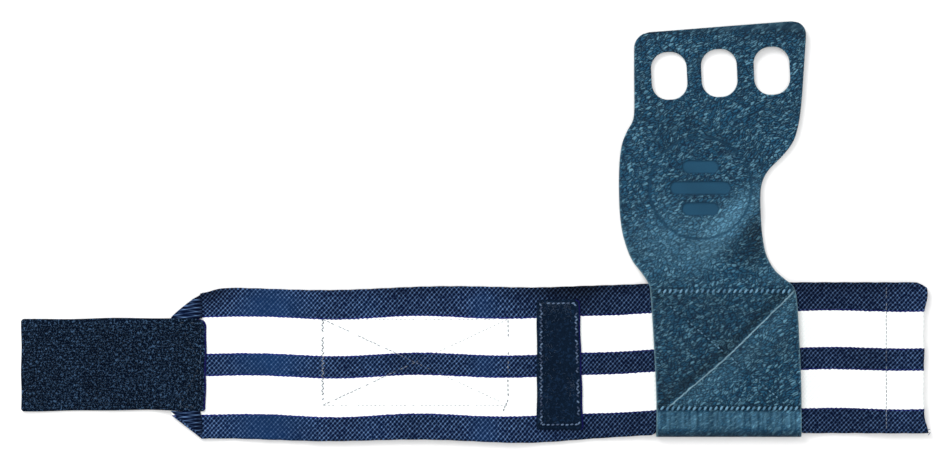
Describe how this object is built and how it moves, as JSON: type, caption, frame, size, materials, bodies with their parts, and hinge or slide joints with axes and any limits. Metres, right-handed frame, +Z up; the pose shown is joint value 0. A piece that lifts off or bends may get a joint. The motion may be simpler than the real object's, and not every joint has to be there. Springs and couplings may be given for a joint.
{
  "type": "gymnastics hand grip",
  "caption": "Leather palm grip with finger holes on a wide striped elastic wrist wrap that winds round the wrist and closes with a hook tab.",
  "frame": {"origin": "centre of the back of the wrist leather, on the surface the open grip lies on", "axes": "+X along the wrap away from its hook tab, +Y from the wrist to the fingers, +Z up, off the surface it lies on"},
  "size_m": [0.4515, 0.2072, 0.0045],
  "materials": {
    "elastic": "woven elastic, navy with two white stripes",
    "leather": "pebbled grain, soft sheen",
    "loop_tape": "brushed loop tape",
    "hook_tape": "hook tape",
    "leather_thread": "bonded thread",
    "navy_thread": "bonded thread",
    "grey_thread": "bonded thread"
  },
  "bodies": {
    "wrist": {"band_wrist": "elastic", "wrist_leather": "leather", "top_seam": "leather_thread", "bottom_seam": "leather_thread", "cross_stitches": "leather_thread"},
    "palm": {"palm_leather": "leather"},
    "left_1": {"band_left_1": "elastic"},
    "left_2": {"band_left_2": "elastic", "cross_strip": "loop_tape", "strip_stitches": "navy_thread"},
    "left_3": {"band_left_3": "elastic", "loop_patch_1": "loop_tape", "patch_stitches_1": "navy_thread"},
    "left_4": {"band_left_4": "elastic", "loop_patch_2": "loop_tape", "patch_stitches_2": "navy_thread"},
    "left_5": {"band_left_5": "elastic", "loop_patch_3": "loop_tape", "patch_stitches_3": "navy_thread"},
    "left_6": {"band_left_6": "elastic"},
    "left_7": {"band_left_7": "elastic"},
    "tab_base": {"band_end": "elastic", "corner_fold_upper": "elastic", "corner_fold_lower": "elastic", "hook_tab_1": "hook_tape", "tab_stitches": "navy_thread"},
    "tab_2": {"hook_tab_2": "hook_tape"},
    "tab_3": {"hook_tab_3": "hook_tape"},
    "tab_4": {"hook_tab_4": "hook_tape"},
    "right_1": {"band_right_1": "elastic"},
    "right_2": {"band_right_2": "elastic", "hem_fold": "elastic", "hem_stitches": "grey_thread"}
  },
  "joints": [
    {"name": "palm_fold", "type": "hinge", "parent": "wrist", "child": "palm", "pos_m": [0, 0.0383, 0.0042], "axis": [1, 0, 0], "range_deg": [0, 88]},
    {"name": "wrap_closing", "type": "hinge", "parent": "wrist", "child": "left_1", "pos_m": [-0.041, 0, 0.0025], "axis": [0, 1, 0], "range_deg": [0, 95.8]},
    {"name": "wrap_bend_2", "type": "hinge", "parent": "left_1", "child": "left_2", "pos_m": [-0.069, 0, 0.0012], "axis": [0, 1, 0], "range_deg": [0, 57.65]},
    {"name": "wrap_bend_3", "type": "hinge", "parent": "left_2", "child": "left_3", "pos_m": [-0.102, 0, 0.00176], "axis": [0, 1, 0], "range_deg": [0, 20.85]},
    {"name": "wrap_bend_4", "type": "hinge", "parent": "left_3", "child": "left_4", "pos_m": [-0.135, 0, 0.0025], "axis": [0, 1, 0], "range_deg": [0, 45.45]},
    {"name": "wrap_bend_5", "type": "hinge", "parent": "left_4", "child": "left_5", "pos_m": [-0.168, 0, 0.0025], "axis": [0, 1, 0], "range_deg": [0, 59.65]},
    {"name": "wrap_bend_6", "type": "hinge", "parent": "left_5", "child": "left_6", "pos_m": [-0.204, 0, 0.0025], "axis": [0, 1, 0], "range_deg": [0, 46.15]},
    {"name": "wrap_bend_7", "type": "hinge", "parent": "left_6", "child": "left_7", "pos_m": [-0.232, 0, 0.0012], "axis": [0, 1, 0], "range_deg": [0, 37.85]},
    {"name": "wrap_bend_8", "type": "hinge", "parent": "left_7", "child": "tab_base", "pos_m": [-0.256, 0, 0.0012], "axis": [0, 1, 0], "range_deg": [0, 21.75]},
    {"name": "wrap_bend_9", "type": "hinge", "parent": "tab_base", "child": "tab_2", "pos_m": [-0.28, 0, 0.00265], "axis": [0, 1, 0], "range_deg": [0, 3.05]},
    {"name": "wrap_bend_10", "type": "hinge", "parent": "tab_2", "child": "tab_3", "pos_m": [-0.304, 0, 0.0014], "axis": [0, 1, 0], "range_deg": [0, 60.45]},
    {"name": "wrap_bend_11", "type": "hinge", "parent": "tab_3", "child": "tab_4", "pos_m": [-0.328, 0, 0.0014], "axis": [0, 1, 0], "range_deg": [0, 26.95]},
    {"name": "short_end_bend_1", "type": "hinge", "parent": "wrist", "child": "right_1", "pos_m": [0.041, 0, 0.0025], "axis": [0, -1, 0], "range_deg": [0, 96.45]},
    {"name": "short_end_bend_2", "type": "hinge", "parent": "right_1", "child": "right_2", "pos_m": [0.07, 0, 0.0012], "axis": [0, -1, 0], "range_deg": [0, 61.15]}
  ],
  "couplings": [
    {"joint": "wrap_bend_2", "follows": "wrap_closing", "ratio": 0.60125},
    {"joint": "wrap_bend_3", "follows": "wrap_closing", "ratio": 0.21712},
    {"joint": "wrap_bend_4", "follows": "wrap_closing", "ratio": 0.4739},
    {"joint": "wrap_bend_5", "follows": "wrap_closing", "ratio": 0.62213},
    {"joint": "wrap_bend_6", "follows": "wrap_closing", "ratio": 0.48121},
    {"joint": "wrap_bend_7", "follows": "wrap_closing", "ratio": 0.39457},
    {"joint": "wrap_bend_8", "follows": "wrap_closing", "ratio": 0.22651},
    {"joint": "wrap_bend_9", "follows": "wrap_closing", "ratio": 0.03132},
    {"joint": "wrap_bend_10", "follows": "wrap_closing", "ratio": 0.63048},
    {"joint": "wrap_bend_11", "follows": "wrap_closing", "ratio": 0.28079},
    {"joint": "short_end_bend_1", "follows": "wrap_closing", "ratio": 1.0063},
    {"joint": "short_end_bend_2", "follows": "wrap_closing", "ratio": 0.63779}
  ]
}
